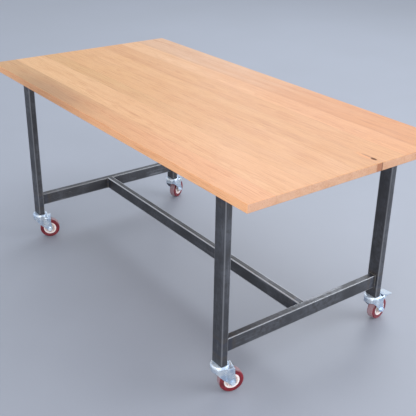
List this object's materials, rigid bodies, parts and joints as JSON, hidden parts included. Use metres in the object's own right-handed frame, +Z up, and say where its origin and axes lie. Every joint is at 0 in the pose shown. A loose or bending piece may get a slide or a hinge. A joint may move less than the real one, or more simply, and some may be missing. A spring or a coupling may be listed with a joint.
{
  "type": "butcher block table",
  "caption": "Work table with an edge-glued wood top on a welded steel tube frame that rolls on swivel casters, the back ones with brakes.",
  "frame": {"origin": "on the floor, under the middle of the wood top", "axes": "+X along the top's length to the right, +Y to the back, where the braked casters are, +Z up"},
  "size_m": [2, 1.0428, 0.9],
  "materials": {
    "top_wood": "oiled, satin",
    "frame_steel": "raw hot-rolled, dark mill scale, waxed",
    "weld_steel": "as welded, darkened",
    "caster_zinc": "zinc plated, bright",
    "fastener_zinc": "zinc plated",
    "bearing_steel": "polished, greased",
    "core_cream": "moulded, matte",
    "tread_red": "moulded polyurethane, satin"
  },
  "bodies": {
    "table": {"board_1": "top_wood", "board_2": "top_wood", "board_3": "top_wood", "board_4": "top_wood", "board_5": "top_wood", "board_6": "top_wood", "board_7": "top_wood", "board_8": "top_wood", "frame_welds": "weld_steel", "leg_back_left": "frame_steel", "leg_back_right": "frame_steel", "leg_front_left": "frame_steel", "leg_front_right": "frame_steel", "lower_rail_left": "frame_steel", "lower_rail_right": "frame_steel", "stem_plates": "frame_steel", "stretcher": "frame_steel", "swivel_head_back_left": "caster_zinc", "swivel_head_back_right": "caster_zinc", "swivel_head_front_left": "caster_zinc", "swivel_head_front_right": "caster_zinc", "top_clips": "frame_steel", "top_screws": "fastener_zinc", "upper_rail_left": "frame_steel", "upper_rail_right": "frame_steel"},
    "swivel_front_left": {"axle_bolt_front_left": "fastener_zinc", "axle_bushing_front_left": "bearing_steel", "axle_nut_front_left": "fastener_zinc", "fork_front_left": "caster_zinc", "swivel_balls_front_left": "bearing_steel"},
    "wheel_front_left": {"tread_front_left": "tread_red", "wheel_core_front_left": "core_cream"},
    "swivel_front_right": {"axle_bolt_front_right": "fastener_zinc", "axle_bushing_front_right": "bearing_steel", "axle_nut_front_right": "fastener_zinc", "fork_front_right": "caster_zinc", "swivel_balls_front_right": "bearing_steel"},
    "wheel_front_right": {"tread_front_right": "tread_red", "wheel_core_front_right": "core_cream"},
    "swivel_back_left": {"axle_bolt_back_left": "fastener_zinc", "axle_bushing_back_left": "bearing_steel", "axle_nut_back_left": "fastener_zinc", "brake_pin_back_left": "fastener_zinc", "fork_back_left": "caster_zinc", "swivel_balls_back_left": "bearing_steel"},
    "wheel_back_left": {"tread_back_left": "tread_red", "wheel_core_back_left": "core_cream"},
    "swivel_back_right": {"axle_bolt_back_right": "fastener_zinc", "axle_bushing_back_right": "bearing_steel", "axle_nut_back_right": "fastener_zinc", "brake_pin_back_right": "fastener_zinc", "fork_back_right": "caster_zinc", "swivel_balls_back_right": "bearing_steel"},
    "wheel_back_right": {"tread_back_right": "tread_red", "wheel_core_back_right": "core_cream"},
    "brake_back_left": {"brake_pedal_back_left": "caster_zinc"},
    "brake_back_right": {"brake_pedal_back_right": "caster_zinc"}
  },
  "joints": [
    {"name": "swivel_front_left", "type": "hinge", "parent": "table", "child": "swivel_front_left", "pos_m": [-0.781, -0.419, 0.115], "axis": [0, 0, 1], "continuous": true},
    {"name": "wheel_front_left", "type": "hinge", "parent": "swivel_front_left", "child": "wheel_front_left", "pos_m": [-0.76105, -0.3781, 0.05], "axis": [-0.8988, 0.4384, 0], "continuous": true},
    {"name": "swivel_front_right", "type": "hinge", "parent": "table", "child": "swivel_front_right", "pos_m": [0.781, -0.419, 0.115], "axis": [0, 0, 1], "continuous": true},
    {"name": "wheel_front_right", "type": "hinge", "parent": "swivel_front_right", "child": "wheel_front_right", "pos_m": [0.7943, -0.37549, 0.05], "axis": [-0.9563, 0.2924, 0], "continuous": true},
    {"name": "swivel_back_left", "type": "hinge", "parent": "table", "child": "swivel_back_left", "pos_m": [-0.781, 0.419, 0.115], "axis": [0, 0, 1], "continuous": true},
    {"name": "wheel_back_left", "type": "hinge", "parent": "swivel_back_left", "child": "wheel_back_left", "pos_m": [-0.80023, 0.46024, 0.05], "axis": [-0.9063, -0.4226, 0], "continuous": true},
    {"name": "brake_back_left", "type": "hinge", "parent": "swivel_back_left", "child": "brake_back_left", "pos_m": [-0.80509, 0.47066, 0.1085], "axis": [0.9063, 0.4226, 0], "range_deg": [0, 25]},
    {"name": "swivel_back_right", "type": "hinge", "parent": "table", "child": "swivel_back_right", "pos_m": [0.781, 0.419, 0.115], "axis": [0, 0, 1], "continuous": true},
    {"name": "wheel_back_right", "type": "hinge", "parent": "swivel_back_right", "child": "wheel_back_right", "pos_m": [0.77545, 0.46416, 0.05], "axis": [-0.9925, -0.1219, 0], "continuous": true},
    {"name": "brake_back_right", "type": "hinge", "parent": "swivel_back_right", "child": "brake_back_right", "pos_m": [0.77405, 0.47558, 0.1085], "axis": [0.9925, 0.1219, 0], "range_deg": [0, 25]}
  ]
}
